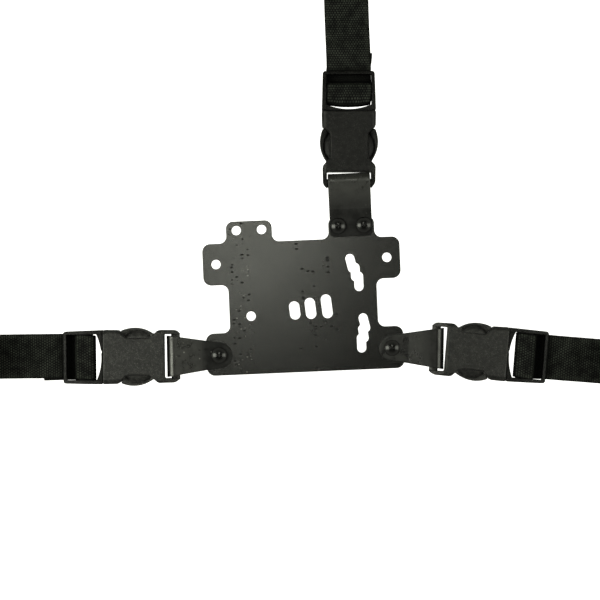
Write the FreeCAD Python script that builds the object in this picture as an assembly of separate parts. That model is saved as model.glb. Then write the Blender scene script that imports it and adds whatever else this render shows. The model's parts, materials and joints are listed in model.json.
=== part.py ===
import FreeCAD, Part

import math
import os

# Chest carry plate of a harness: a flat plate with three folded tabs, each holding a 25 mm side-release
# buckle and its webbing strap. All sizes are in millimetres.
#
# Frame: origin on the plate's back face, midway between the two side ear holes, +X to the right strap as seen
# from the front, +Y to the top strap, +Z out of the plate's front face.
#
# Each buckle is drawn in its own frame: X is the station along the buckle from the socket's bar end, Y is
# across it, and Z is the height above the end bar's axis, which lies in the plate's middle plane.

V = FreeCAD.Vector
UP = V(0, 0, 1)

# --- plate ---
PLATE_HALF_WIDTH = 56.1
PLATE_BOTTOM = -0.4
PLATE_TOP = 86.7
PLATE_THICKNESS = 2.4
WAIST_HALF_WIDTH = 42.1
LOWER_EAR_TOP = 23.6
SIDE_EAR_BOTTOM = 50.9
SIDE_EAR_TOP = 74.5
TOP_NOTCH_HALF_WIDTH = 16.1
EAR_CORNER = 4.5
EAR_FILLET = 4.0
PLATE_EDGE_BREAK = 0.25
HOLE_RADIUS = 2.7
TOP_EAR_HOLES_Y = 81.6
TOP_EAR_HOLE_SPACING = 14.4
TOP_EAR_CENTRE_X = 29.1
SIDE_EAR_HOLES = (48.6, 62.8)
LOWER_LEFT_HOLE = (-29.9, 32.6)
SLOT_RADIUS = 2.95
SLOT_TILT = 5.1
# centre x, centre y and overall length of the three plain slots
PLAIN_SLOTS = ((13.3, 36.4, 13.6), (4.0, 35.6, 12.0), (-5.0, 34.8, 10.4))
STEP_RADIUS = 2.62
# ends of the three short slots that run into each other in each stepped slot: top x, top y, low x, low y
UPPER_STEPPED_SLOT = ((27.6, 63.0, 28.8, 57.5), (30.3, 57.8, 30.4, 52.5), (32.1, 52.8, 32.1, 46.9))
LOWER_STEPPED_SLOT = ((33.7, 28.9, 34.9, 23.3), (33.2, 22.7, 33.8, 17.6), (32.2, 17.5, 32.2, 11.9))

# --- folded tabs ---
TAB_THICKNESS = 1.5
TAB_GAP = 0.05
TAB_HALF_WIDTH = 11.9
TAB_TIP_RADIUS = 7.1
TOP_TAB_OVERHANG = 5.9
TOP_TAB_CORNER = 2.6
FOLD_INNER_RADIUS = 2.9
FLAT_PAST_SCREW = 9.5
SCREW_HOLE_RADIUS = 2.7

# --- binding posts and their screws ---
HEAD_RADIUS = 4.5
SCREW_HEAD_HEIGHT = 2.4
POST_HEAD_HEIGHT = 1.6
BARREL_RADIUS = 2.5
THREAD_RADIUS = 1.75
THREAD_CLEARANCE = 0.05
RECESS_LENGTH = 4.0
RECESS_WIDTH = 0.85
RECESS_DEPTH = 1.5
HEAD_RIM_HEIGHT = 0.5
HEAD_RIM_BREAK = 0.2
DOME_SHOULDER_RADIUS = 2.8
DOME_SHOULDER_DROP = 0.55
POST_EDGE_ROUND = 0.6
POST_SLOT_WIDTH = 1.0
POST_SLOT_DEPTH = 0.7
THREAD_REACH = 0.5

# --- buckle socket ---
BAR_STATION = 2.8
BAR_HALF_WIDTH = 2.5
BAR_HALF_HEIGHT = 1.6
SOCKET_LENGTH = 43.6
SOCKET_HALF_WIDTH = 15.2
BAR_END_HALF_WIDTH = 14.75
WINDOW_HALF_WIDTH = 10.6
BUCKLE_BACK = -4.4
BUCKLE_FRONT = 6.1
BUCKLE_BACK_CORNER = 2.0
BUCKLE_FRONT_CORNER = 3.0
SOCKET_EDGE_ROUND = 0.9
MOUTH_FLARE = 0.2
BAR_SLOT_END = 9.3
BAR_SLOT_HALF = 12.6
CAVITY_START = 12.4
CAVITY_HALF = 13.8
CAVITY_CORNER = 1.0
CAVITY_BACK = -2.7
CAVITY_FRONT = 4.4
BACK_WALL_END = 14.8
MOUTH_WALL_START = 34.2

# --- buckle plug ---
PLUG_START = 43.8
PLUG_END = 66.5
PLUG_HALF_WIDTH = 15.3
PLUG_END_HALF_WIDTH = 14.7
PLUG_BACK = -4.1
PLUG_FRONT = 5.7
RAIL_WIDTH = 2.25
END_RAIL_WIDTH = 1.75
CROSSBAR_WIDTH = 1.9
ARC_MIDDLE = 44.5
ARC_SIDE = 47.3
LADDER_START = 49.3
LADDER_END = 57.4
LADDER_BACK = -0.2
LADDER_FRONT = 3.4
FLANGE_DROP = 1.0
GATE_NOTCH_WIDTH = 1.6
GATE_NOTCH_DEPTH = 0.6
PLUG_EDGE_ROUND = 0.8
TONGUE_CLEARANCE = 0.35
TONGUE_BASE_HALF = 7.4
PRONG_STEP = 1.2

# --- latch arms, given for the arm on the +Y side ---
LATCH_PIVOT = (40.6, 10.4)
LATCH_ROOT_RADIUS = 1.9
LATCH_SHOULDER = (33.3, 14.95)
LATCH_PEAK = (25.2, 16.45)
LATCH_NOSE = (15.7, 13.1)
LATCH_EDGE_ROUND = 0.5
# middle line of the arch-shaped groove in the arm's faces: root end, crown, nose end
GROOVE_ARCH = ((31.2, 10.8), (24.9, 14.2), (16.6, 11.8))
GROOVE_WIDTH = 1.0
GROOVE_DEPTH = 1.5
GROOVE_INNER_EDGE = 10.4
LATCH_INNER_EDGE = 9.9

# --- webbing ---
WEBBING_HALF_WIDTH = 12.7
WEBBING_THICKNESS = 1.4
WEBBING_PLAY = 0.1
ROLL_PITCH = 1.6
ROLL_CORE_RADIUS = 4.0
ROLL_GAP = 0.05
TIE_WIDTH = 6.0
TIE_THICKNESS = 1.2
TIE_SLACK = 0.3

MIDDLE = PLATE_THICKNESS / 2
FLOOR = -(TAB_GAP + TAB_THICKNESS + TAB_GAP + POST_HEAD_HEIGHT)
TAB_FRONT = PLATE_THICKNESS + TAB_GAP + TAB_THICKNESS
BEYOND = 20.0

# Each arm of the harness: the screw (or the middle of two screws) that holds its tab, the directions of its
# tab and its buckle, the reach from the screw to the bar, how far the fold's loop stands beyond the bar, the
# screws across the tab, the length of its strap, the station where its roll begins, the length of the strap's
# tail past the plug, how loosely the strap goes round the ladder bar, the moulding notches in the plug's
# inner wall, and the two latches.
ARMS = {
    "left": {
        "screw": (-48.9, 11.2),
        "tab_angle": 178.75,
        "buckle_angle": 178.3,
        "reach": 24.8,
        "play": 0.6,
        "screws_across": (0.0,),
        "strap_length": 550.0,
        "roll_from": 105.5,
        "tail": 12.0,
        "slack": 0.0,
        "gate_notches": (-3.0,),
        "latches": {"lower": 1, "upper": -1},
    },
    "right": {
        "screw": (49.3, 11.3),
        "tab_angle": -3.3,
        "buckle_angle": -7.1,
        "reach": 24.5,
        "play": 0.6,
        "screws_across": (0.0,),
        "strap_length": 550.0,
        "roll_from": 100.5,
        "tail": 12.0,
        "slack": 0.0,
        "gate_notches": (1.5,),
        "latches": {"upper": 1, "lower": -1},
    },
    "top": {
        "screw": (29.0, 81.6),
        "tab_angle": 90.2,
        "buckle_angle": 87.8,
        "reach": 24.1,
        "play": 1.4,
        "screws_across": (-7.3, 7.3),
        "strap_length": 750.0,
        "roll_from": 112.0,
        "tail": 11.0,
        "slack": 0.6,
        "gate_notches": (),
        "latches": {"left": 1, "right": -1},
    },
}


# --- drawing helpers ---
def rounded_edges(corners, closed):
    """Lines and arcs through (x, y, corner radius) points in the XY plane."""
    stops = []
    for i, (x, y, radius) in enumerate(corners):
        here = V(x, y, 0)
        is_end = not closed and i in (0, len(corners) - 1)
        if is_end or radius == 0:
            stops.append((here, None, here))
            continue
        before = corners[i - 1]
        after = corners[(i + 1) % len(corners)]
        back = (V(before[0], before[1], 0) - here).normalize()
        ahead = (V(after[0], after[1], 0) - here).normalize()
        half = back.getAngle(ahead) / 2
        cut = radius / math.tan(half)
        inward = (back + ahead).normalize()
        middle = here + inward * (radius / math.sin(half) - radius)
        stops.append((here + back * cut, middle, here + ahead * cut))
    edges = []
    for i, (start, middle, end) in enumerate(stops):
        if i > 0 or closed:
            last = stops[i - 1][2]
            if (start - last).Length > 1e-6:
                edges.append(Part.LineSegment(last, start).toShape())
        if middle is not None:
            edges.append(Part.Arc(start, middle, end).toShape())
    return edges


def rounded_face(corners):
    return Part.Face(Part.Wire(rounded_edges(corners, True)))


def both_sides(half):
    """A closed outline from its +Y half, which runs from one point near the X axis to another."""
    return half + [(x, -y, radius) for x, y, radius in reversed(half)]


def plan_prism(corners, low, high):
    face = rounded_face(corners)
    face.translate(V(0, 0, low))
    return face.extrude(V(0, 0, high - low))


def side_prism(corners, half_width):
    """A profile of (x, z, corner radius) points, extruded across Y."""
    face = rounded_face(corners)
    face.rotate(V(0, 0, 0), V(1, 0, 0), 90)
    face.translate(V(0, half_width, 0))
    return face.extrude(V(0, -2 * half_width, 0))


def cross_prism(corners, start, end):
    """A profile of (y, z, corner radius) points, extruded along X."""
    face = rounded_face(corners)
    face.Placement = FreeCAD.Placement(V(start, 0, 0), FreeCAD.Rotation(V(0, 1, 0), UP, V(1, 0, 0)))
    return face.extrude(V(end - start, 0, 0))


def box(low, high):
    size = V(*high) - V(*low)
    return Part.makeBox(size.x, size.y, size.z, V(*low))


def stadium(x1, y1, x2, y2, radius, low, high):
    """A slot-shaped prism whose rounded ends are centred on the two points."""
    along = V(x2 - x1, y2 - y1, 0)
    bar = Part.makeBox(along.Length, 2 * radius, high - low, V(0, -radius, low))
    bar.Placement = FreeCAD.Placement(V(x1, y1, 0), FreeCAD.Rotation(V(1, 0, 0), along))
    ends = [Part.makeCylinder(radius, high - low, V(x, y, low)) for x, y in ((x1, y1), (x2, y2))]
    return bar.fuse(ends)


def rounded_rims(solid, radius, longer_than=0.0):
    """The solid with the edges of its back and front faces rounded, or only those longer than this in X."""
    edges = [edge for edge in solid.Edges if edge.BoundBox.ZLength < 0.01]
    return solid.makeFillet(radius, [edge for edge in edges if edge.BoundBox.XLength >= longer_than])


def to_row(shape):
    """From the plate's drawing, whose y starts at the bottom edge, to the part's frame."""
    shape.translate(V(0, -SIDE_EAR_HOLES[1], 0))
    return shape


def bar_centre(arm):
    angle = math.radians(arm["tab_angle"])
    x, y = arm["screw"]
    return V(x + arm["reach"] * math.cos(angle), y + arm["reach"] * math.sin(angle), MIDDLE)


def placed(shape, arm, key, station=0.0):
    """A shape drawn along X, moved so that the given station is at the bar and X points along the arm."""
    shape.translate(V(-station, 0, 0))
    shape.rotate(V(0, 0, 0), UP, arm[key])
    shape.translate(bar_centre(arm))
    return to_row(shape)


# --- plate ---
def mounting_plate():
    ear = EAR_CORNER
    dip = EAR_FILLET
    half = [
        (PLATE_BOTTOM, PLATE_HALF_WIDTH, ear),
        (LOWER_EAR_TOP, PLATE_HALF_WIDTH, ear),
        (LOWER_EAR_TOP, WAIST_HALF_WIDTH, dip),
        (SIDE_EAR_BOTTOM, WAIST_HALF_WIDTH, dip),
        (SIDE_EAR_BOTTOM, PLATE_HALF_WIDTH, ear),
        (SIDE_EAR_TOP, PLATE_HALF_WIDTH, ear),
        (SIDE_EAR_TOP, WAIST_HALF_WIDTH, dip),
        (PLATE_TOP, WAIST_HALF_WIDTH, dip),
        (PLATE_TOP, TOP_NOTCH_HALF_WIDTH, dip),
        (SIDE_EAR_TOP, TOP_NOTCH_HALF_WIDTH, dip),
    ]
    outline = [(y, x, radius) for x, y, radius in both_sides(half)]
    plate = plan_prism(outline, 0, PLATE_THICKNESS)
    plate = rounded_rims(plate, PLATE_EDGE_BREAK)

    holes = [LOWER_LEFT_HOLE, SIDE_EAR_HOLES, (-SIDE_EAR_HOLES[0], SIDE_EAR_HOLES[1])]
    for side in (-1, 1):
        holes.append((-TOP_EAR_CENTRE_X + side * TOP_EAR_HOLE_SPACING / 2, TOP_EAR_HOLES_Y))
    for arm in ARMS.values():
        holes += [(arm["screw"][0] + across, arm["screw"][1]) for across in arm["screws_across"]]
    cuts = [Part.makeCylinder(HOLE_RADIUS, 3 * PLATE_THICKNESS, V(x, y, -PLATE_THICKNESS)) for x, y in holes]
    lean = math.radians(SLOT_TILT)
    for x, y, length in PLAIN_SLOTS:
        reach = length / 2 - SLOT_RADIUS
        dx = reach * math.sin(lean)
        dy = reach * math.cos(lean)
        cuts.append(stadium(x - dx, y + dy, x + dx, y - dy, SLOT_RADIUS, -1, PLATE_THICKNESS + 1))
    for ends in UPPER_STEPPED_SLOT + LOWER_STEPPED_SLOT:
        cuts.append(stadium(*ends, STEP_RADIUS, -1, PLATE_THICKNESS + 1))
    return to_row(plate.cut(cuts))


# --- tabs ---
def fold_profile(tip, flat_to, centre, half_gap, radius):
    """Side view of the space in a fold: flat from the tip, then widening to a round end about the centre."""
    slope = math.atan2(radius - half_gap, centre - flat_to)
    touch = V(centre - radius * math.sin(slope), radius * math.cos(slope), 0)
    top = [V(tip, half_gap, 0), V(flat_to, half_gap, 0), touch]
    low = [V(p.x, -p.y, 0) for p in reversed(top)]
    edges = [Part.LineSegment(a, b).toShape() for a, b in zip(top, top[1:])]
    edges.append(Part.Arc(touch, V(centre + radius, 0, 0), low[0]).toShape())
    edges += [Part.LineSegment(a, b).toShape() for a, b in zip(low, low[1:])]
    edges.append(Part.LineSegment(low[-1], top[0]).toShape())
    face = Part.Face(Part.Wire(edges))
    face.rotate(V(0, 0, 0), V(1, 0, 0), 90)
    face.translate(V(0, 2 * TAB_HALF_WIDTH, 0))
    return face.extrude(V(0, -4 * TAB_HALF_WIDTH, 0))


def tab_blank(arm, crest):
    """The unfolded tab's plan, from its screws to just past the fold's crest, as a tall prism."""
    reach = arm["reach"]
    tall = 3 * TAB_FRONT
    if len(arm["screws_across"]) > 1:
        low = -reach - TOP_TAB_OVERHANG
        half = [(low, TAB_HALF_WIDTH, TOP_TAB_CORNER), (crest, TAB_HALF_WIDTH, 0)]
        return plan_prism(both_sides(half), -tall, tall)
    lean = math.asin((TAB_HALF_WIDTH - TAB_TIP_RADIUS) / math.hypot(reach + crest, TAB_HALF_WIDTH))
    touch_x = -reach - TAB_TIP_RADIUS * math.sin(lean)
    touch_y = TAB_TIP_RADIUS * math.cos(lean)
    sides = plan_prism(both_sides([(touch_x, touch_y, 0), (crest, TAB_HALF_WIDTH, 0)]), -tall, tall)
    return sides.fuse(Part.makeCylinder(TAB_TIP_RADIUS, 2 * tall, V(-reach, 0, -tall)))


def folded_tab(arm):
    reach = arm["reach"]
    play = arm["play"]
    blank = tab_blank(arm, play + FOLD_INNER_RADIUS + TAB_THICKNESS + 1)
    tip = -reach - 2 * TAB_TIP_RADIUS
    flat_to = -reach + FLAT_PAST_SCREW
    half_gap = MIDDLE + TAB_GAP
    outside = fold_profile(tip, flat_to, play, half_gap + TAB_THICKNESS, FOLD_INNER_RADIUS + TAB_THICKNESS)
    inside = fold_profile(tip - 1, flat_to, play, half_gap, FOLD_INNER_RADIUS)
    tab = outside.cut(inside).common(blank)
    hole = Part.makeCylinder(SCREW_HOLE_RADIUS, 6 * TAB_FRONT, V(-reach, 0, -3 * TAB_FRONT))
    holes = [hole.translated(V(0, across, 0)) for across in arm["screws_across"]]
    return placed(tab.cut(holes), arm, "tab_angle")


# --- fasteners ---
def screw(x, y, turn):
    """A dome-headed cross-recessed screw, standing on the tab's front face."""
    seat = TAB_FRONT + TAB_GAP
    top = seat + SCREW_HEAD_HEIGHT
    foot = V(HEAD_RADIUS - HEAD_RIM_BREAK, 0, seat)
    rim = V(HEAD_RADIUS, 0, seat + HEAD_RIM_HEIGHT)
    shoulder = V(DOME_SHOULDER_RADIUS, 0, top - DOME_SHOULDER_DROP)
    profile = [
        Part.LineSegment(V(0, 0, seat), foot).toShape(),
        Part.LineSegment(foot, rim).toShape(),
        Part.Arc(rim, shoulder, V(0, 0, top)).toShape(),
        Part.LineSegment(V(0, 0, top), V(0, 0, seat)).toShape(),
    ]
    head = Part.Face(Part.Wire(profile)).revolve(V(0, 0, 0), UP, 360)
    for angle in (turn, turn + 90):
        arm = box(
            (-RECESS_LENGTH / 2, -RECESS_WIDTH / 2, top - RECESS_DEPTH),
            (RECESS_LENGTH / 2, RECESS_WIDTH / 2, top + 1),
        )
        arm.rotate(V(0, 0, 0), UP, angle)
        head = head.cut(arm)
    thread = THREAD_RADIUS - THREAD_CLEARANCE
    shank = Part.makeCylinder(thread, seat + THREAD_REACH, V(0, 0, -THREAD_REACH))
    body = head.fuse(shank).removeSplitter()
    body.translate(V(x, y, 0))
    return to_row(body)


def post(x, y):
    """The threaded post that the screw goes into, with its low round head on the back tab."""
    head_top = FLOOR + POST_HEAD_HEIGHT
    head = Part.makeCylinder(HEAD_RADIUS, POST_HEAD_HEIGHT, V(0, 0, FLOOR))
    rim = [edge for edge in head.Edges if edge.BoundBox.ZMax < FLOOR + 0.01]
    head = head.makeFillet(POST_EDGE_ROUND, rim)
    slot = box(
        (-HEAD_RADIUS, -POST_SLOT_WIDTH / 2, FLOOR - 1),
        (HEAD_RADIUS, POST_SLOT_WIDTH / 2, FLOOR + POST_SLOT_DEPTH),
    )
    barrel = Part.makeCylinder(BARREL_RADIUS, TAB_FRONT - 2 * TAB_GAP - head_top, V(0, 0, head_top))
    bore = Part.makeCylinder(THREAD_RADIUS, TAB_FRONT + 2, V(0, 0, -1))
    body = head.cut(slot).fuse(barrel).cut(bore)
    body.translate(V(x, y, 0))
    return to_row(body)


def screw_places(arm):
    x, y = arm["screw"]
    return [(x + across, y) for across in arm["screws_across"]]


# --- buckle socket ---
def buckle_section():
    """The socket's rounded cross-section, all along it."""
    half = SOCKET_HALF_WIDTH + MOUTH_FLARE
    corners = [
        (-half, BUCKLE_BACK, BUCKLE_BACK_CORNER),
        (half, BUCKLE_BACK, BUCKLE_BACK_CORNER),
        (half, BUCKLE_FRONT, BUCKLE_FRONT_CORNER),
        (-half, BUCKLE_FRONT, BUCKLE_FRONT_CORNER),
    ]
    return cross_prism(corners, -1, SOCKET_LENGTH + 1)


def socket_outline():
    half = [
        (0.0, BAR_END_HALF_WIDTH, 4.2),
        (12.4, SOCKET_HALF_WIDTH - MOUTH_FLARE, 3.0),
        (17.2, WINDOW_HALF_WIDTH, 2.4),
        (30.4, WINDOW_HALF_WIDTH, 2.4),
        (35.2, SOCKET_HALF_WIDTH, 1.8),
        (SOCKET_LENGTH, SOCKET_HALF_WIDTH + MOUTH_FLARE, 0.9),
    ]
    return both_sides(half)


def socket(arm):
    body = plan_prism(socket_outline(), BUCKLE_BACK, BUCKLE_FRONT)
    body = rounded_rims(body, SOCKET_EDGE_ROUND)
    side_view = [
        (-1.0, BUCKLE_BACK + 1.0, 0),
        (-1.0, 3.4, 0),
        (0.6, 3.8, 2.0),
        (BAR_SLOT_END, BUCKLE_FRONT, 8.0),
        (SOCKET_LENGTH + 1, BUCKLE_FRONT, 0),
        (SOCKET_LENGTH + 1, BUCKLE_BACK, 0),
        (2.5, BUCKLE_BACK, 2.0),
    ]
    body = body.common(side_prism(side_view, BEYOND))
    body = body.common(buckle_section())

    cavity = cross_prism(
        [
            (-CAVITY_HALF, CAVITY_BACK, CAVITY_CORNER),
            (CAVITY_HALF, CAVITY_BACK, CAVITY_CORNER),
            (CAVITY_HALF, CAVITY_FRONT, CAVITY_CORNER),
            (-CAVITY_HALF, CAVITY_FRONT, CAVITY_CORNER),
        ],
        CAVITY_START,
        SOCKET_LENGTH + 1,
    )
    windows = box((BACK_WALL_END, -BEYOND, CAVITY_BACK), (MOUTH_WALL_START, BEYOND, CAVITY_FRONT))
    bar_slot = plan_prism(
        both_sides([(-2.0, BAR_SLOT_HALF, 0), (BAR_SLOT_END, BAR_SLOT_HALF, 0.8)]),
        BUCKLE_BACK - 1,
        BUCKLE_FRONT + 1,
    )
    body = body.cut([cavity, windows, bar_slot])
    bar = Part.Face(Part.Wire(Part.Ellipse(V(0, 0, 0), BAR_HALF_WIDTH, BAR_HALF_HEIGHT).toShape()))
    bar.rotate(V(0, 0, 0), V(1, 0, 0), 90)
    bar.translate(V(BAR_STATION, BAR_SLOT_HALF + 0.6, 0))
    bar = bar.extrude(V(0, -2 * (BAR_SLOT_HALF + 0.6), 0))
    return placed(body.fuse(bar).removeSplitter(), arm, "buckle_angle", BAR_STATION)


# --- buckle plug ---
def plug(arm):
    outline = [
        (PLUG_START, PLUG_HALF_WIDTH, 0.9),
        (PLUG_END, PLUG_END_HALF_WIDTH, 1.8),
    ]
    frame = plan_prism(both_sides(outline), PLUG_BACK, PLUG_FRONT)
    frame = rounded_rims(frame, PLUG_EDGE_ROUND)
    inner_end = PLUG_END - CROSSBAR_WIDTH
    side = PLUG_HALF_WIDTH - RAIL_WIDTH
    end_side = PLUG_END_HALF_WIDTH - END_RAIL_WIDTH
    arc = Part.Arc(V(ARC_SIDE, -side, 0), V(ARC_MIDDLE, 0, 0), V(ARC_SIDE, side, 0)).toShape()
    rim = [
        arc,
        Part.LineSegment(V(ARC_SIDE, side, 0), V(inner_end, end_side, 0)).toShape(),
        Part.LineSegment(V(inner_end, end_side, 0), V(inner_end, -end_side, 0)).toShape(),
        Part.LineSegment(V(inner_end, -end_side, 0), V(ARC_SIDE, -side, 0)).toShape(),
    ]
    opening = Part.Face(Part.Wire(rim))
    opening.translate(V(0, 0, PLUG_BACK - 1))
    cuts = [opening.extrude(V(0, 0, PLUG_FRONT - PLUG_BACK + 2))]
    cuts.append(box((PLUG_START - 1, -side, PLUG_FRONT - FLANGE_DROP), (ARC_SIDE, side, PLUG_FRONT + 1)))
    for y in arm["gate_notches"]:
        notch = Part.makeBox(GATE_NOTCH_DEPTH + 1, GATE_NOTCH_WIDTH, PLUG_FRONT - PLUG_BACK + 2)
        notch.translate(V(ARC_MIDDLE - GATE_NOTCH_DEPTH, y - GATE_NOTCH_WIDTH / 2, PLUG_BACK - 1))
        cuts.append(notch)
    frame = frame.cut(cuts)
    side_view = [
        (PLUG_START, PLUG_BACK, 0.6),
        (PLUG_START, PLUG_FRONT, 0.6),
        (54.0, 5.2, 20.0),
        (PLUG_END, 2.8, 1.2),
        (PLUG_END, -1.2, 0.8),
        (61.5, -1.2, 3.0),
        (57.0, PLUG_BACK, 3.0),
    ]
    frame = frame.common(side_prism(side_view, BEYOND))

    ladder = [
        (LADDER_START, LADDER_BACK, 1.79),
        (LADDER_START, LADDER_FRONT, 1.79),
        (LADDER_END, LADDER_FRONT, 0.6),
        (LADDER_END, LADDER_BACK, 1.0),
    ]
    ladder_bar = side_prism(ladder, side + 0.6)

    tongue_back = CAVITY_BACK + TONGUE_CLEARANCE
    tongue_front = CAVITY_FRONT - TONGUE_CLEARANCE
    tongue_half = CAVITY_HALF - TONGUE_CLEARANCE
    root = PLUG_START + 0.6
    flange = [(42.9, tongue_half, 0.8), (root, tongue_half, 0)]
    base = [(36.0, TONGUE_BASE_HALF, 1.5), (root, TONGUE_BASE_HALF, 0)]
    prong = [(23.5, 2.2, 1.6), (36.5, 2.6, 0)]
    tongue = plan_prism(both_sides(flange), tongue_back, tongue_front)
    tongue = tongue.fuse(plan_prism(both_sides(base), tongue_back, tongue_front))
    tongue = tongue.fuse(plan_prism(both_sides(prong), tongue_back + PRONG_STEP, tongue_front - PRONG_STEP))
    body = frame.fuse([ladder_bar, tongue]).removeSplitter()
    return placed(body, arm, "buckle_angle", BAR_STATION)


# --- latch arms ---
def latch_arm(arm, side):
    """One flexing arm of the plug; side is 1 for the arm on the buckle's +Y side and -1 for the other."""
    back = CAVITY_BACK + TONGUE_CLEARANCE
    front = CAVITY_FRONT - TONGUE_CLEARANCE
    px, py = LATCH_PIVOT
    sx, sy = LATCH_SHOULDER
    outer = Part.Arc(V(sx, sy, 0), V(*LATCH_PEAK, 0), V(*LATCH_NOSE, 0)).toShape()
    nose = Part.Arc(V(*LATCH_NOSE, 0), V(13.7, 11.2, 0), V(14.3, 9.4, 0)).toShape()
    inner = Part.Arc(V(14.3, 9.4, 0), V(24.0, LATCH_INNER_EDGE, 0), V(34.0, 9.6, 0)).toShape()
    low_root = V(px, py - LATCH_ROOT_RADIUS, 0)
    high_root = V(px, py + LATCH_ROOT_RADIUS, 0)
    heel = V(sx, sy - 2.3, 0)
    edges = [
        outer,
        nose,
        inner,
        Part.LineSegment(V(34.0, 9.6, 0), low_root).toShape(),
        Part.Arc(low_root, V(px + LATCH_ROOT_RADIUS, py, 0), high_root).toShape(),
        Part.LineSegment(high_root, heel).toShape(),
        Part.LineSegment(heel, V(sx, sy, 0)).toShape(),
    ]
    face = Part.Face(Part.Wire(edges))
    face.translate(V(0, 0, back))
    body = face.extrude(V(0, 0, front - back))
    body = rounded_rims(body, LATCH_EDGE_ROUND, longer_than=(sx - LATCH_NOSE[0]) / 2)
    arch = Part.Circle(*[V(x, y, 0) for x, y in GROOVE_ARCH])
    foot = arch.Center - V(0, 0, BEYOND)
    ring = Part.makeCylinder(arch.Radius + GROOVE_WIDTH / 2, 2 * BEYOND, foot)
    ring = ring.cut(Part.makeCylinder(arch.Radius - GROOVE_WIDTH / 2, 2 * BEYOND, foot))
    nose_x = GROOVE_ARCH[2][0]
    root_x = GROOVE_ARCH[0][0]
    for low, high in ((front - GROOVE_DEPTH, front + 1), (back - 1, back + GROOVE_DEPTH)):
        body = body.cut(ring.common(box((nose_x, GROOVE_INNER_EDGE, low), (root_x, BEYOND, high))))
    if side < 0:
        body = body.mirror(V(0, 0, 0), V(0, 1, 0))
    return placed(body, arm, "buckle_angle", BAR_STATION)


# --- straps ---
def strap_route(arm, end):
    """Middle line of the webbing as (station, height, corner radius), from the tail to the roll."""
    half = WEBBING_THICKNESS / 2
    lying = BUCKLE_BACK + half
    above = lying + WEBBING_THICKNESS + WEBBING_PLAY
    over = LADDER_FRONT + WEBBING_PLAY + half
    under = LADDER_BACK - WEBBING_PLAY - half
    wrap = LADDER_START - WEBBING_PLAY - half - arm["slack"]
    wrap_radius = (over - under) / 2 - 0.01
    tail_end = PLUG_END + arm["tail"]
    return [
        (tail_end, lying, 0),
        (61.0, lying, 3.0),
        (57.5, under, 3.0),
        (wrap, under, wrap_radius),
        (wrap, over, wrap_radius),
        (LADDER_END + 0.6, over, 1.6),
        (63.4, above, 1.8),
        (tail_end + 2.0, above, 8.0),
        (tail_end + 8.0, lying, 8.0),
        (end, lying, 0),
    ]


def route_length(route):
    return sum(edge.Length for edge in rounded_edges(route, False))


def roll_radius(arm):
    """The radius of the roll that takes up the rest of the strap; the run ends under the roll's centre."""
    radius = 2 * ROLL_CORE_RADIUS
    for _ in range(30):
        rest = arm["strap_length"] - route_length(strap_route(arm, arm["roll_from"] + radius))
        radius = math.sqrt(rest * ROLL_PITCH / math.pi + ROLL_CORE_RADIUS**2)
    return radius


def roll_centre(arm):
    radius = roll_radius(arm)
    return V(arm["roll_from"] + radius, 0, BUCKLE_BACK + radius)


def roll_cylinder(arm, radius):
    start = roll_centre(arm) - V(0, WEBBING_HALF_WIDTH, 0)
    return Part.makeCylinder(radius, 2 * WEBBING_HALF_WIDTH, start, V(0, 1, 0))


def strap(arm):
    """The laced and lying stretch of the webbing, up to where it turns into the roll."""
    wire = Part.Wire(rounded_edges(strap_route(arm, roll_centre(arm).x), False))
    face = Part.Face(wire.makeOffset2D(WEBBING_THICKNESS / 2, 0, False, False))
    face.rotate(V(0, 0, 0), V(1, 0, 0), 90)
    face.translate(V(0, WEBBING_HALF_WIDTH, 0))
    ribbon = face.extrude(V(0, -2 * WEBBING_HALF_WIDTH, 0))
    ribbon = ribbon.cut(roll_cylinder(arm, roll_radius(arm) + ROLL_GAP))
    pieces = sorted(ribbon.Solids, key=lambda piece: piece.Volume)
    return placed(pieces[-1], arm, "buckle_angle", BAR_STATION)


def strap_roll(arm):
    roll = roll_cylinder(arm, roll_radius(arm)).cut(roll_cylinder(arm, ROLL_CORE_RADIUS))
    return placed(roll, arm, "buckle_angle", BAR_STATION)


def roll_tie(arm):
    """A band through the roll's core and over its top, which keeps the turns together."""
    low = TIE_THICKNESS / 2
    top = roll_radius(arm) + TIE_SLACK
    inside = WEBBING_HALF_WIDTH + TIE_SLACK
    sections = []
    for grown, corner in ((TIE_THICKNESS, 1.5), (0.0, 0.4)):
        half = inside + grown
        bottom = low - grown
        height = top + grown
        places = ((-half, bottom), (half, bottom), (half, height), (-half, height))
        sections.append([(y, z, corner) for y, z in places])
    band = cross_prism(sections[0], -TIE_WIDTH / 2, TIE_WIDTH / 2)
    loop = band.cut(cross_prism(sections[1], -TIE_WIDTH, TIE_WIDTH))
    loop.translate(roll_centre(arm))
    return placed(loop, arm, "buckle_angle", BAR_STATION)


# --- all the nodes ---
nodes = {"mounting_plate": mounting_plate()}
for name, arm in ARMS.items():
    places = screw_places(arm)
    suffix = "screws" if len(places) > 1 else "screw"
    post_suffix = "posts" if len(places) > 1 else "post"
    screws = [screw(x, y, 40 + 23 * i) for i, (x, y) in enumerate(places)]
    posts = [post(x, y) for x, y in places]
    nodes[f"{name}_tab"] = folded_tab(arm)
    nodes[f"{name}_{suffix}"] = Part.makeCompound(screws)
    nodes[f"{name}_{post_suffix}"] = Part.makeCompound(posts)
    nodes[f"{name}_buckle_socket"] = socket(arm)
    nodes[f"{name}_buckle_plug"] = plug(arm)
    for latch, side in arm["latches"].items():
        nodes[f"{name}_buckle_{latch}_latch"] = latch_arm(arm, side)
    nodes[f"{name}_strap"] = strap(arm)
    nodes[f"{name}_strap_roll"] = strap_roll(arm)
    nodes[f"{name}_roll_tie"] = roll_tie(arm)

os.makedirs("parts", exist_ok=True)
for name, shape in nodes.items():
    shape.exportStep(f"parts/{name}.step")
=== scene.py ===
import json
import math

import bmesh
import bpy
from mathutils import Matrix, Vector


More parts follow.
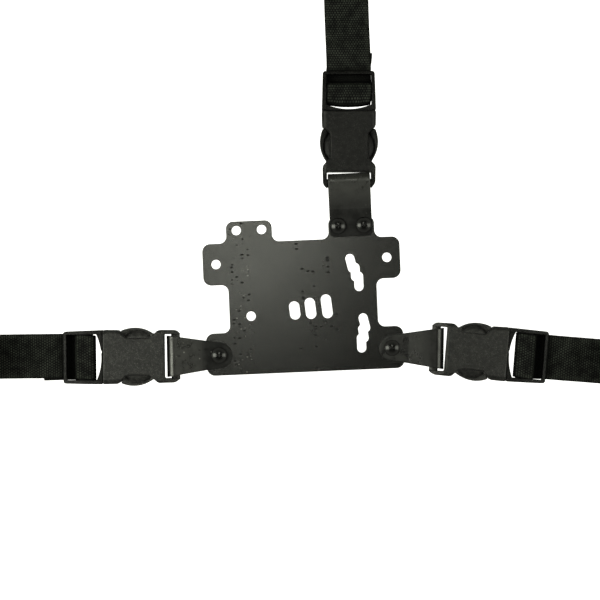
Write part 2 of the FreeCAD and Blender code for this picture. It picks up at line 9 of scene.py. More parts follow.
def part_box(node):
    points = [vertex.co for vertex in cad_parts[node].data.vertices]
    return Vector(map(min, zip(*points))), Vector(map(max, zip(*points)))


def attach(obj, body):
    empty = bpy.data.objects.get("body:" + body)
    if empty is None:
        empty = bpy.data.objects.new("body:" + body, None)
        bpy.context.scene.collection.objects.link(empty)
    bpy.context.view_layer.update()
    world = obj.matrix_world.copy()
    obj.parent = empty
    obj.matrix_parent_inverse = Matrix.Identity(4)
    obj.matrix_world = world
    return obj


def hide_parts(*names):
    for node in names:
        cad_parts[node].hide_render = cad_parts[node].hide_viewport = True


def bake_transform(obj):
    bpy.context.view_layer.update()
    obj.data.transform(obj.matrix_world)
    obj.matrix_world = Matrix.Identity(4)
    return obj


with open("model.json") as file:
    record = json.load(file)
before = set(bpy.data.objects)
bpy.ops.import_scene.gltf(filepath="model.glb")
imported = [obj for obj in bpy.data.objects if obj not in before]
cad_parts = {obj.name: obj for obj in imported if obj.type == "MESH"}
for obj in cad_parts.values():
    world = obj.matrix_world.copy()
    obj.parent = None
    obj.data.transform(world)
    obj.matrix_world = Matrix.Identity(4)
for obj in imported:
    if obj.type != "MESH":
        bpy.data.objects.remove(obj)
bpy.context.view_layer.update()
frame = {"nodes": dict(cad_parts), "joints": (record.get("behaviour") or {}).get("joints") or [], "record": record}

MM = 0.001

# Sizes are in millimetres here and in the strap, tie and latch functions. Stations along a buckle are counted
# from the socket's bar end, and heights from the bar's axis, as in the part's source.
BAR_STATION = 2.8
BUCKLE_BACK = -4.4
PLUG_END = 66.5
# The ladder bar's first and last station, and its under and upper side.
LADDER = (49.3, 57.4, -0.2, 3.4)
# Past the ladder bar: where the tail is still up under it, where the tail is down flat, and where the run is
# down on the tail.
DESCENT = (57.5, 61.0, 60.4)
# The webbing's width and thickness, the pitch of its ribs and of the floats along a rib, and the tie's knit.
WEBBING = (25.4, 1.4)
WEAVE_ROW = 1.31
WEAVE_FLOAT = 1.5
KNIT_COLUMN = 0.75
KNIT_ROW = 0.6
# How far apart a roll's turns lie, and how many steps make up a turn.
ROLL_PITCH = 1.47
TURN_STEPS = 72
# How far the tail and the run lean in the plug's frame, each to its own side, over what length the tail's skew
# settles from its end, and over what length the lean changes sides.
FRAME_LEAN = 0.3
SKEW_SETTLES = 14.0
LEAN_SETTLES = 8.0
# The run comes down off the tail's end between these distances past it.
STEP_DOWN = (2.0, 8.0)
# The stations where the crown of a strap's turn is full and where it has gone.
CROWN_START = 47.5
CROWN_END = 52.0
# The gap between the webbing and what it lies on.
GAP = 0.1
# Half the width and half the thickness of a tie, how far its middle line stands off the strap's edges and the
# roll's top, a stitch's half sizes, and how high the stitches lie over the tie's inner layer.
TIE = (3.0, 0.45)
TIE_CLEAR = (0.8, 0.5)
STITCH = (0.16, 0.42, 0.12)
STITCH_HEIGHT = 1.46
# A latch arm's neck: its first and last station, distance from the buckle's middle, half width, under and upper
# side, and the station where it starts to flare, the flare's length and its amount.
NECK = (38.6, 43.45)
NECK_ACROSS = 10.4
NECK_HALF = 1.62
NECK_HEIGHTS = (-2.31, 4.01)
FLARE = (42.0, 1.45, 0.5)
# Stations for a bend in the neck; nothing in this script bends it.
BEND = (37.4, 43.0)
# Each strap: its tail past the plug, the looseness and the crown of its turn round the ladder bar, how far the
# tail is skewed, the sideways drift of the run (from station, to station, amount), its length in metres, and the
# sides of the two latches.
ARMS = {
    "left": {
        "tail": 12.0,
        "slack": 0.0,
        "bulge": 0.0,
        "skew": 0.2,
        "drift": (57.0, 68.0, -0.5),
        "length": 0.55,
        "latches": {"lower": 1, "upper": -1},
    },
    "right": {
        "tail": 12.0,
        "slack": 0.0,
        "bulge": 0.0,
        "skew": -0.2,
        "drift": (57.0, 68.0, 0.5),
        "length": 0.55,
        "latches": {"upper": 1, "lower": -1},
    },
    "top": {
        "tail": 11.0,
        "slack": 0.6,
        "bulge": 1.5,
        "skew": -1.3,
        "drift": (60.0, 115.0, 1.4),
        "length": 0.75,
        "latches": {"left": 1, "right": -1},
    },
}


# ---------------------------------------------------------------- places
class Arm:
    """A buckle's own frame: X along it from the bar, Y across it, Z up, and the sizes of its strap's roll."""

    def __init__(self, name, facts):
        self.name = name
        self.facts = facts
        pivot = next(j for j in frame["joints"] if j["name"] == f"{name}_buckle_pivot")
        self.bar = Vector(pivot["pos_m"])
        self.y = -Vector(pivot["axis"])
        self.x = self.y.cross(Vector((0, 0, 1)))
        low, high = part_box(f"{name}_strap_roll")
        self.roll_radius = (high.z - low.z) / 2 / MM
        self.roll_station = ((low + high) / 2 - self.bar).dot(self.x) / MM + BAR_STATION

    def at(self, station, across, height):
        return self.bar + (self.x * (station - BAR_STATION) + self.y * across + Vector((0, 0, height))) * MM


arms = {name: Arm(name, facts) for name, facts in ARMS.items()}


# ---------------------------------------------------------------- materials
class Paint:
    """A node material; add() makes a node and links or sets its inputs."""

    def __init__(self, name):
        self.material = bpy.data.materials.new(name)
        self.material.use_nodes = True
        self.tree = self.material.node_tree
        self.tree.nodes.clear()
        self.shader = self.tree.nodes.new("ShaderNodeBsdfPrincipled")
        out = self.tree.nodes.new("ShaderNodeOutputMaterial")
        self.tree.links.new(self.shader.outputs[0], out.inputs[0])

    def put(self, socket, value):
        if isinstance(value, bpy.types.NodeSocket):
            self.tree.links.new(value, socket)
        elif hasattr(value, "__len__") and len(value) == 3 and socket.type == "RGBA":
            socket.default_value = (*value, 1.0)
        else:
            socket.default_value = value

    def add(self, kind, inputs=(), out=0, **settings):
        """A new node's output; inputs are by name or number, settings are the node's own."""
        node = self.tree.nodes.new("ShaderNode" + kind)
        for key, value in settings.items():
            setattr(node, key, value)
        for key, value in dict(inputs).items():
            self.put(node.inputs[key], value)
        return node.outputs[out]

    def math(self, operation, a, b=0.0, c=0.0):
        return self.add("Math", {0: a, 1: b, 2: c}, operation=operation)

    def coords(self, scale=(1, 1, 1)):
        where = self.add("TexCoord", out="Object")
        return self.add("Mapping", {"Vector": where, "Scale": scale})

    def axis(self, vector, out):
        """One of a vector's parts: X, Y or Z."""
        return self.add("SeparateXYZ", {"Vector": vector}, out=out)

    def near(self, value, middle, reach, full):
        """One within full of the middle and zero beyond reach of it."""
        away = self.math("ABSOLUTE", self.math("SUBTRACT", value, middle))
        return self.ramp(away, reach, full)

    def inverse(self, value):
        return self.math("SUBTRACT", 1.0, value)

    def noise(self, vector, scale, detail=3.0, roughness=0.5):
        inputs = {"Vector": vector, "Scale": scale, "Detail": detail, "Roughness": roughness}
        return self.add("TexNoise", inputs)

    def ramp(self, value, low, high, to_low=0.0, to_high=1.0):
        inputs = {"Value": value, "From Min": low, "From Max": high, "To Min": to_low, "To Max": to_high}
        return self.add("MapRange", inputs, clamp=True)

    def mix(self, factor, a, b):
        node = self.tree.nodes.new("ShaderNodeMix")
        node.data_type = "RGBA"
        self.put(node.inputs[0], factor)
        self.put(node.inputs[6], a)
        self.put(node.inputs[7], b)
        return node.outputs[2]

    def soft_edge(self, radius_mm):
        """A normal that turns over near the edges, as moulded and worn edges do."""
        return self.add("Bevel", {"Radius": radius_mm * MM}, samples=6)

    def open_sky(self, reach_mm):
        """One in the open and zero deep in a recess or a joint."""
        return self.add("AmbientOcclusion", {"Distance": reach_mm * MM}, out="AO", samples=8)

    def turned_away(self, low, high):
        """One where the surface has turned well away from upright, as over a fold, and zero on the flat."""
        up = self.axis(self.add("NewGeometry", out="Normal"), "Z")
        return self.ramp(up, 1.0 - low, 1.0 - high)

    def bump(self, height, depth_mm, under=None):
        inputs = {"Height": height, "Distance": depth_mm * MM, "Strength": 1.0}
        if under is not None:
            inputs["Normal"] = under
        return self.add("Bump", inputs)

    def finish(self, **inputs):
        for key, value in inputs.items():
            self.put(self.shader.inputs[key.replace("_", " ")], value)
        return self.material


def specks(paint, vector, per_m, radius, share):
    """Small round spots, one in some of the cells of a grid with this many cells to a metre."""
    cell = paint.add("TexVoronoi", {"Vector": vector, "Scale": per_m}, out="Distance")
    chance = paint.add("TexVoronoi", {"Vector": vector, "Scale": per_m}, out="Color")
    chance = paint.add("SeparateColor", {"Color": chance})
    spot = paint.ramp(cell, radius, radius * 0.5)
    return paint.math("MULTIPLY", spot, paint.math("LESS_THAN", chance, share))


# Paint coordinates are metres in the shared frame. Bands of pits down the plate: the middle, the half width, the
# cells to a metre and the share of cells that hold a pit.
PIT_BANDS = ((-0.036, 0.007, 430.0, 0.3), (0.004, 0.009, 430.0, 0.24), (0.016, 0.005, 360.0, 0.2))
# The column of pale chips down the plate's left part: its middle, its reach and its full part.
CHIP_COLUMN = (-0.034, 0.006, 0.004)


def plate_paint():
    """Smooth sheet with fine streaks across, a faint weft, pits in bands, pale chips in one column, and painted
    contact shade round what sits on it.
    """
    p = Paint("plate_plastic")
    here = p.coords()
    streaks = p.noise(p.coords((90, 3600, 90)), 1.0, 4.0, 0.6)
    weft = p.noise(p.coords((1500, 60, 60)), 1.0, 3.0, 0.55)
    cloud = p.noise(here, 30.0, 3.0)
    grain = p.noise(here, 2600.0, 2.0)
    tone = p.math("ADD", p.math("MULTIPLY", streaks, 0.55), p.math("MULTIPLY", weft, 0.2))
    tone = p.math("ADD", tone, p.math("MULTIPLY", cloud, 0.35))
    colour = p.mix(p.ramp(tone, 0.36, 0.74), (0.002, 0.002, 0.0018), (0.0062, 0.0061, 0.0056))

    east = p.axis(here, "X")
    patches = p.ramp(p.noise(here, 70.0, 2.0), 0.38, 0.46)
    pits = 0.0
    for middle, half_width, per_m, share in PIT_BANDS:
        band = p.math("MULTIPLY", p.near(east, middle, half_width, half_width * 0.6), patches)
        spots = p.math("MULTIPLY", specks(p, p.coords((0.75, 1.3, 1)), per_m, 0.34, share), band)
        pits = p.math("MAXIMUM", pits, spots)
    worn = p.math("MULTIPLY", p.near(east, *CHIP_COLUMN), 0.7)
    chips = p.math("MULTIPLY", specks(p, p.coords((0.8, 1.4, 1)), 520.0, 0.26, 0.26), worn)
    stray = specks(p, p.coords((1.1, 0.9, 1)), 150.0, 0.075, 0.3)
    # Painted contact shade: the colour goes dark and rough where tabs, screws and posts sit close over the sheet.
    contact_shade = p.ramp(p.open_sky(0.9), 0.85, 0.45)
    colour = p.mix(p.math("MULTIPLY", chips, 0.7), colour, (0.3, 0.3, 0.28))
    colour = p.mix(p.math("MAXIMUM", pits, contact_shade), colour, (0.0006, 0.0006, 0.0005))
    colour = p.mix(p.math("MULTIPLY", stray, 0.6), colour, (0.0015, 0.0015, 0.0014))

    height = p.bump(streaks, 0.016, p.soft_edge(0.4))
    height = p.bump(grain, 0.012, height)
    height = p.bump(p.inverse(pits), 0.08, height)
    blotch = p.math("ADD", p.math("MULTIPLY", grain, 0.5), p.math("MULTIPLY", cloud, 0.5))
    rough = p.ramp(blotch, 0.3, 0.7, 0.19, 0.26)
    rough = p.math("ADD", rough, p.math("MULTIPLY", p.math("MAXIMUM", pits, contact_shade), 0.6))
    return p.finish(Base_Color=colour, Roughness=rough, Normal=height, Specular_IOR_Level=0.5)


# How the tabs are told apart, in metres: the left one's mask sets in along the first pair, going west, and the
# top one's along the second, going north.
LEFT_TAB = (-0.03, -0.045)
TOP_TAB = (0.0, 0.01)
# Such sheet bends a little in use, so that part of each tab catches less light. These tabs are flat, and the
# paint darkens that part instead: toward the screws on the left and top ones, toward the fold on the right one.
LEFT_DIM = (-0.063, -0.056)
RIGHT_DIM = (0.0655, 0.0715)
TOP_DIM = (0.040, 0.030)
# How pale the folds' crests are painted, a painted highlight that is strongest on the left fold: over the first
# pair, going east, it falls from the third value to the fourth.
CREST_HIGHLIGHT = (-0.03, 0.0, 0.11, 0.03)


def tab_paint():
    """The tabs' sheet: blotchy, dented and chipped most on the left, with painted highlight on the folds' crests,
    painted shade on their steep sides and round the screws, and the top tab painted paler as painted highlight.
    """
    p = Paint("tab_plastic")
    here = p.coords()
    east = p.axis(here, "X")
    north = p.axis(here, "Y")
    cloud = p.noise(here, 190.0, 4.0, 0.65)
    grain = p.noise(here, 2200.0, 3.0)
    wavy = p.noise(here, 620.0, 2.0)
    left_only = p.ramp(east, *LEFT_TAB)
    top_only = p.ramp(north, *TOP_TAB)
    marked = p.math("MULTIPLY_ADD", left_only, 0.9, 0.1)
    dents = p.math("MULTIPLY", specks(p, p.coords((0.8, 1.2, 1)), 330.0, 0.36, 0.16), marked)
    chips = p.math("MULTIPLY", specks(p, p.coords((1, 1.1, 1)), 450.0, 0.26, 0.13), marked)
    # Painted contact shade: the colour goes dark where screws and posts sit close over the sheet.
    contact_shade = p.ramp(p.open_sky(0.9), 0.85, 0.45)
    fold = p.turned_away(0.002, 0.02)
    # steep picks each fold's steep outer side, which the paint turns black as painted shade.
    steep = p.turned_away(0.13, 0.22)

    dim_left = p.math("MULTIPLY", left_only, p.ramp(east, *LEFT_DIM))
    dim_top = p.math("MULTIPLY", top_only, p.ramp(north, *TOP_DIM))
    dim = p.math("MAXIMUM", p.math("MAXIMUM", dim_left, dim_top), p.ramp(east, *RIGHT_DIM))
    dim = p.math("MULTIPLY", dim, p.inverse(fold))
    # Painted highlight: the top tab, outside its dimmed part, is painted paler where it catches more light.
    top_highlight = p.math("MULTIPLY", top_only, p.inverse(dim))
    # Painted highlight on the folds' crests, palest on the left fold, and painted shade, black, on their steep
    # sides.
    crest_highlight = p.math("MULTIPLY", p.ramp(east, *CREST_HIGHLIGHT), p.inverse(steep))
    crest_highlight_colour = p.mix(crest_highlight, (0, 0, 0), (1.0, 1.0, 0.93))

    colour = p.mix(p.ramp(cloud, 0.38, 0.62), (0.0012, 0.0012, 0.0011), (0.0125, 0.0125, 0.0113))
    colour = p.mix(p.math("MULTIPLY", fold, p.ramp(grain, 0.35, 0.65, 0.45, 1.0)), colour, crest_highlight_colour)
    colour = p.mix(p.math("MULTIPLY", top_highlight, 0.5), colour, (0.034, 0.034, 0.031))
    colour = p.mix(dim, colour, (0.0006, 0.0006, 0.0005))
    colour = p.mix(p.math("MULTIPLY", chips, 0.7), colour, (0.26, 0.26, 0.24))
    dark = p.math("MAXIMUM", p.math("MULTIPLY", dents, 0.8), contact_shade)
    colour = p.mix(dark, colour, (0.0008, 0.0008, 0.0007))

    height = p.bump(wavy, 0.05, p.soft_edge(0.9))
    height = p.bump(grain, 0.02, height)
    height = p.bump(p.inverse(dents), 0.08, height)
    rough = p.ramp(cloud, 0.38, 0.62, 0.27, 0.48)
    rough = p.math("SUBTRACT", rough, p.math("MULTIPLY", fold, 0.1))
    rough = p.math("MAXIMUM", rough, p.math("MULTIPLY", steep, 0.95))
    rough = p.math("ADD", rough, p.math("MULTIPLY", dim, 0.5))
    rough = p.math("ADD", rough, p.math("MULTIPLY", p.math("MAXIMUM", dents, contact_shade), 0.4))
    return p.finish(Base_Color=colour, Roughness=rough, Normal=height, Specular_IOR_Level=0.5)


def buckle_paint(name, depth, shine):
    """Spark-eroded moulded plastic, smoother and painted darker toward the right as painted shade, with painted
    contact shade in its joints; depth scales its tone, shine its reflection.
    """
    p = Paint(name)
    here = p.coords()
    flow = p.noise(here, 70.0, 4.0, 0.6)
    spark = p.noise(here, 2300.0, 3.0, 0.65)
    mottle = p.noise(here, 620.0, 3.0, 0.7)
    # Painted shade: toward the right the colour darkens, where less light falls; the same mask makes the plastic
    # glossier there.
    right_shade_and_gloss = p.ramp(p.axis(here, "X"), -0.02, 0.05, 0.0, 0.35)
    low = tuple(0.005 * depth * c for c in (1.0, 1.0, 0.95))
    high = tuple(0.013 * depth * c for c in (1.0, 1.0, 0.95))
    colour = p.mix(p.ramp(flow, 0.35, 0.65), low, high)
    colour = p.mix(p.ramp(mottle, 0.4, 0.6), p.mix(0.75, colour, (0.001, 0.001, 0.001)), colour)
    grit = p.math("MULTIPLY", p.ramp(spark, 0.52, 0.66), p.ramp(mottle, 0.4, 0.6))
    colour = p.mix(p.math("MULTIPLY", grit, min(1.0, 0.85 * depth)), colour, (0.11, 0.11, 0.1))
    colour = p.mix(right_shade_and_gloss, colour, (0.0012, 0.0012, 0.0011))
    # Painted contact shade: the colour goes dark in joints and where parts sit close together.
    contact_shade = p.ramp(p.open_sky(0.7), 0.8, 0.4)
    colour = p.mix(contact_shade, colour, (0.0006, 0.0006, 0.0006))
    height = p.bump(spark, 0.1, p.soft_edge(0.5))
    height = p.bump(mottle, 0.3, height)
    rough = p.ramp(mottle, 0.35, 0.65, 0.36, 0.5)
    rough = p.math("SUBTRACT", rough, p.math("MULTIPLY", right_shade_and_gloss, 0.15))
    rough = p.math("ADD", rough, p.math("MULTIPLY", contact_shade, 0.3))
    return p.finish(Base_Color=colour, Roughness=rough, Normal=height, Specular_IOR_Level=shine)


def metal_paint(name, tone, low, high):
    """Blackened metal with its roughness between low and high, and painted shade that darkens its recesses."""
    p = Paint(name)
    here = p.coords()
    grain = p.noise(here, 1500.0, 3.0)
    worn = p.noise(here, 380.0, 4.0, 0.65)
    open_sky = p.open_sky(1.2)
    dark, bright = (tuple(tone * c for c in shade) for shade in ((1.0, 1.0, 0.95), (2.2, 2.2, 2.1)))
    colour = p.mix(p.ramp(worn, 0.35, 0.7), dark, bright)
    # Painted shade: the colour goes near black in the head's recesses, such as the screw's cross.
    colour = p.mix(p.ramp(open_sky, 0.4, 0.9), (0.0002, 0.0002, 0.0002), colour)
    rough = p.math("ADD", p.ramp(worn, 0.3, 0.7, low, high), p.ramp(open_sky, 0.9, 0.4, 0.0, 0.5))
    return p.finish(Base_Color=colour, Roughness=rough, Normal=p.bump(grain, 0.01), Specular_IOR_Level=0.5)


# Across the webbing, in metres from its middle: where the floats even out toward the selvedge, and its bare edge.
SELVEDGE = (0.0092, 0.0108)
BARE_EDGE = (0.0117, 0.0123)
# Along the webbing, in metres from the tail's cut end, which is melted against fraying.
MELTED_END = (0.0011, 0.0003)


def webbing_paint():
    """Ribs across the strap, each a row of raised yarn floats that are staggered from row to row."""
    p = Paint("webbing")
    place = p.add("Attribute", attribute_name="weave", out="Vector")
    along, across = p.axis(place, "X"), p.axis(place, "Y")
    wobble = p.noise(place, 260.0, 2.0)
    along_w = p.math("MULTIPLY_ADD", p.math("SUBTRACT", wobble, 0.5), 0.0005, along)
    row = p.math("DIVIDE", along_w, WEAVE_ROW * MM)
    number = p.math("FLOOR", row)
    inside = p.math("SUBTRACT", p.math("FRACT", row), 0.5)
    rib = p.inverse(p.math("POWER", p.math("ABSOLUTE", p.math("MULTIPLY", inside, 2.0)), 1.6))
    stagger = p.math("MULTIPLY", p.math("MODULO", number, 2.0), 0.5)
    slip = p.math("MULTIPLY", p.noise(place, 90.0, 2.0), 1.2)
    phase = p.math("ADD", p.math("ADD", p.math("DIVIDE", across, WEAVE_FLOAT * MM), stagger), slip)
    wave = p.math("COSINE", p.math("MULTIPLY", phase, 2 * math.pi))
    side = p.math("ABSOLUTE", across)
    floats = p.math("MAXIMUM", p.ramp(wave, -0.85, 0.6), p.ramp(side, *SELVEDGE, 0.0, 0.55))
    yarn = p.math("MULTIPLY", rib, p.math("MULTIPLY_ADD", floats, 0.85, 0.15))
    fibre = p.noise(p.add("Mapping", {"Vector": place, "Scale": (5200, 900, 1)}), 1.0, 3.0, 0.6)
    patch = p.noise(place, 190.0, 3.0, 0.6)
    # The floats and the crests of the ribs are painted paler than the dark ground: a painted highlight where the
    # weave's tops catch the light.
    light = p.math("MULTIPLY", yarn, p.ramp(patch, 0.34, 0.66, 0.3, 1.2))
    light = p.math("MULTIPLY", light, p.ramp(fibre, 0.2, 0.8, 0.65, 1.15))
    colour = p.mix(p.ramp(light, 0.08, 0.8), (0.0003, 0.0004, 0.0003), (0.038, 0.043, 0.035))
    edge = p.ramp(side, *BARE_EDGE)
    colour = p.mix(p.math("MULTIPLY", edge, 0.85), colour, (0.0012, 0.0014, 0.0012))
    # Painted shade: the webbing goes black where it lies deep in the plug's frame and under its bars.
    colour = p.mix(p.ramp(p.open_sky(7.0), 0.62, 0.9), (0.0002, 0.0003, 0.0002), colour)
    melted = p.ramp(along, *MELTED_END)
    colour = p.mix(melted, colour, (0.003, 0.003, 0.003))
    height = p.bump(yarn, 0.2)
    height = p.bump(fibre, 0.03, height)
    rough = p.ramp(melted, 0.0, 1.0, 0.75, 0.35)
    return p.finish(Base_Color=colour, Roughness=rough, Normal=height, Specular_IOR_Level=0.12)


def tie_paint():
    """A soft knitted band: fine rows of loops along it."""
    p = Paint("tie_fabric")
    place = p.add("Attribute", attribute_name="weave", out="Vector")
    along, across = p.axis(place, "X"), p.axis(place, "Y")
    column = p.math("COSINE", p.math("MULTIPLY", across, 2 * math.pi / (KNIT_COLUMN * MM)))
    loops = p.math("COSINE", p.math("MULTIPLY", along, 2 * math.pi / (KNIT_ROW * MM)))
    knit = p.math("MULTIPLY_ADD", p.math("MULTIPLY", column, loops), 0.25, p.math("MULTIPLY_ADD", column, 0.25, 0.5))
    fuzz = p.noise(place, 2400.0, 3.0, 0.6)
    light = p.math("MULTIPLY", knit, p.ramp(fuzz, 0.25, 0.75, 0.6, 1.2))
    colour = p.mix(light, (0.004, 0.004, 0.004), (0.02, 0.02, 0.019))
    height = p.bump(fuzz, 0.04, p.bump(knit, 0.08))
    return p.finish(
        Base_Color=colour,
        Roughness=0.8,
        Normal=height,
        Specular_IOR_Level=0.25,
        Sheen_Weight=0.08,
        Sheen_Roughness=0.5,
    )


def stage_paint():
    """White paper that glows enough to come out white under any light."""
    p = Paint("studio_paper")
    tone = p.noise(p.coords(), 3.0, 2.0)
    colour = p.mix(tone, (0.78, 0.78, 0.78), (0.82, 0.82, 0.82))
    return p.finish(
        Base_Color=colour,
        Roughness=0.9,
        Specular_IOR_Level=0.1,
        Emission_Color=(1.0, 1.0, 1.0),
        Emission_Strength=0.9,
    )


PAINTS = {
    "plate_plastic": plate_paint(),
    "tab_plastic": tab_paint(),
    "buckle_plastic": buckle_paint("buckle_plastic", 1.0, 0.45),
    "screw_metal": metal_paint("screw_metal", 0.0026, 0.2, 0.27),
    "post_metal": metal_paint("post_metal", 0.004, 0.3, 0.42),
    "webbing": webbing_paint(),
    "tie_fabric": tie_paint(),
}
# The plugs, the latch arms and the top socket share the buckles' slot but differ in tone and in shine.
PLUG_PAINT = buckle_paint("buckle_plug_plastic", 0.3, 0.2)
# A paler, shinier copy for the left and right latch arms: painted highlight, lighter than the sockets' own paint.
LATCH_LIT_PAINT = buckle_paint("buckle_latch_lit_plastic", 1.7, 0.5)
# A darker, duller copy for the top socket: painted shade, since the top gets less light than the sides.
TOP_SHADE_PAINT = buckle_paint("buckle_top_shaded_plastic", 0.45, 0.24)


def painted(obj, slot):
    obj.data.materials.clear()
    obj.data.materials.append(PAINTS[slot])
    return obj


for part in frame["record"]["subparts"]:
    painted(frame["nodes"][part["node"]], part["material_slot"])
for name in ARMS:
    frame["nodes"][f"{name}_buckle_plug"].data.materials[0] = PLUG_PAINT
frame["nodes"]["top_buckle_socket"].data.materials[0] = TOP_SHADE_PAINT


# ---------------------------------------------------------------- meshes
def new_object(name, mesh, slot):
    obj = bpy.data.objects.new(name, mesh)
    bpy.context.scene.collection.objects.link(obj)
    painted(obj, slot)
    return obj


def path_points(corners, step):
    """Points along straight runs and the arcs that round their corners; corners are (x, z, radius)."""
    points = []

    def run_to(p):
        if not points:
            points.append(p)
            return
        gap = (p - points[-1]).length
        count = max(1, math.ceil(gap / step))
        start = points[-1].copy()
        for k in range(1, count + 1):
            points.append(start.lerp(p, k / count))

    for i, (x, z, radius) in enumerate(corners):
        here = Vector((x, z))
        if i in (0, len(corners) - 1) or radius == 0:
            run_to(here)
            continue
        back = (Vector(corners[i - 1][:2]) - here).normalized()
        ahead = (Vector(corners[i + 1][:2]) - here).normalized()
        half = math.acos(max(-1, min(1, back.dot(ahead)))) / 2
        cut = radius / math.tan(half)
        centre = here + (back + ahead).normalized() * (radius / math.sin(half))
        run_to(here + back * cut)
        first = here + back * cut - centre
        last = here + ahead * cut - centre
        turn = math.atan2(first.x * last.y - first.y * last.x, first.dot(last))
        count = max(2, math.ceil(abs(turn) * radius / step))
        for k in range(1, count + 1):
            cos, sin = math.cos(turn * k / count), math.sin(turn * k / count)
            points.append(centre + Vector((first.x * cos - first.y * sin, first.x * sin + first.y * cos)))
    return points


def softened(points, passes):
    """The same line with its curvature spread out, ends kept."""
    for _ in range(passes):
        inner = [(a + b * 2 + c) / 4 for a, b, c in zip(points, points[1:], points[2:])]
        points = [points[0], *inner, points[-1]]
    return points


def smooth(x):
    """A step from zero to one with level ends."""
    x = max(0.0, min(1.0, x))
    return x * x * (3 - 2 * x)


def ribbon_section(half_width, half_thick, across_steps):
    """The closed outline of a strap's cross-section as (across, up), with rounded selvedges."""
    round_part = half_thick * 0.8
    flat = half_width - round_part
    top = [(flat - 2 * flat * k / across_steps, half_thick) for k in range(across_steps + 1)]
    turns = (math.pi / 4, math.pi / 2, 3 * math.pi / 4)
    left = [(-flat - math.sin(a) * round_part, math.cos(a) * half_thick) for a in turns]
    return top + left + [(-y, -z) for y, z in top + left]


def ribbon(name, points, section, place, slot, side_shift=None, lift=None, taper=0.6):
    """A strap mesh along a line in an upright plane; place(x, across, z) puts a point in the shared frame.

    side_shift and lift move it sideways and within the plane, and its ends thin out over the taper's length.
    """
    bm = bmesh.new()
    weave = bm.verts.layers.float_vector.new("weave")
    rings = []
    travelled = 0.0
    lengths = [0.0]
    for a, b in zip(points, points[1:]):
        travelled += (b - a).length
        lengths.append(travelled)
    for i, p in enumerate(points):
        ahead = points[min(i + 1, len(points) - 1)] - points[max(i - 1, 0)]
        normal = Vector((-ahead.y, ahead.x)).normalized()
        from_end = min(lengths[i], travelled - lengths[i])
        thin = 1.0 if from_end > taper else 0.55 + 0.45 * math.sqrt(max(0.0, from_end / taper))
        shift = side_shift(lengths[i], p.x) if side_shift else 0.0
        ring = []
        for across, up in section:
            moved = p + normal * (up * thin)
            if lift:
                moved = moved + lift(p, across)
            vert = bm.verts.new(place(moved.x, across + shift, moved.y))
            vert[weave] = Vector((lengths[i], across, up)) * MM
            ring.append(vert)
        rings.append(ring)
    for a, b in zip(rings, rings[1:]):
        for k in range(len(section)):
            j = (k + 1) % len(section)
            bm.faces.new((a[k], a[j], b[j], b[k]))
    bm.faces.new(rings[0][::-1])
    bm.faces.new(rings[-1])
    bmesh.ops.recalc_face_normals(bm, faces=bm.faces)
    mesh = bpy.data.meshes.new(name)
    bm.to_mesh(mesh)
    bm.free()
    mesh.shade_smooth()
    mesh.set_sharp_from_angle(angle=math.radians(50))
    return new_object(name, mesh, slot), travelled


def strap_line(arm):
    """The webbing's middle line: tail, ladder bar, lying run, then a spiral into the roll."""
    half = WEBBING[1] / 2
    lying = BUCKLE_BACK + half
    above = lying + WEBBING[1] + GAP
    over = LADDER[3] + GAP + half
    under = LADDER[2] - GAP - half
    wrap = LADDER[0] - GAP - half - arm.facts["slack"]
    radius = (over - under) / 2 - 0.01
    tail = PLUG_END + arm.facts["tail"]
    centre = Vector((arm.roll_station, BUCKLE_BACK + arm.roll_radius))
    route = [
        (tail, lying, 0),
        (DESCENT[1], lying, 3.0),
        (DESCENT[0], under, 3.0),
        (wrap, under, radius),
        (wrap, over, radius),
        (LADDER[1] + 0.6, over, 1.6),
        (DESCENT[2], above, 1.4),
        (tail + STEP_DOWN[0], above, 8.0),
        (tail + STEP_DOWN[1], lying, 8.0),
        (centre.x, lying, 0),
    ]
    points = softened(path_points(route, 0.6), 2)
    start = arm.roll_radius - half
    lying_length = sum((b - a).length for a, b in zip(points, points[1:]))
    rolled = arm.facts["length"] / MM - lying_length
    turns = (start - math.sqrt(start**2 - ROLL_PITCH * rolled / math.pi)) / ROLL_PITCH
    count = math.ceil(turns * TURN_STEPS)
    for k in range(1, count + 1):
        angle = 2 * math.pi * turns * k / count
        away = start - ROLL_PITCH * angle / (2 * math.pi)
        points.append(centre + Vector((math.sin(angle), -math.cos(angle))) * away)
    return points


def make_strap(arm):
    """One strap as a single sheet, tail and roll included."""
    name = arm.name
    bulge = arm.facts["bulge"]
    skew = arm.facts["skew"]

    def lift(p, across):
        """The turn round the ladder bar crowns outward at the strap's middle."""
        if not bulge or p.x > CROWN_END or p.y < -2.0:
            return Vector((0, 0))
        crown = 1 - (across / (WEBBING[0] / 2)) ** 2
        near = max(0.0, 1 - max(0.0, p.x - CROWN_START) / (CROWN_END - CROWN_START))
        return Vector((-bulge * crown * near, 0))

    wrap_length = (PLUG_END + arm.facts["tail"] - LADDER[0]) + (LADDER[3] - LADDER[2])
    start, end, amount = arm.facts["drift"]

    def side_shift(length, station):
        """The tail leans one way and the run the other, so that together they fill the plug's frame."""
        settle = smooth(1 - length / SKEW_SETTLES)
        turned = smooth((length - wrap_length) / LEAN_SETTLES)
        drift = amount * turned * smooth((station - start) / (end - start))
        return skew * settle + FRAME_LEAN * (1 - 2 * turned) + drift

    section = ribbon_section(WEBBING[0] / 2, WEBBING[1] / 2, 14)
    obj, length = ribbon(f"{name}_webbing", strap_line(arm), section, arm.at, "webbing", side_shift, lift)
    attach(obj, f"{name}_buckle_plug")
    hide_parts(f"{name}_strap", f"{name}_strap_roll")
    print(name, "webbing length", round(length, 1))


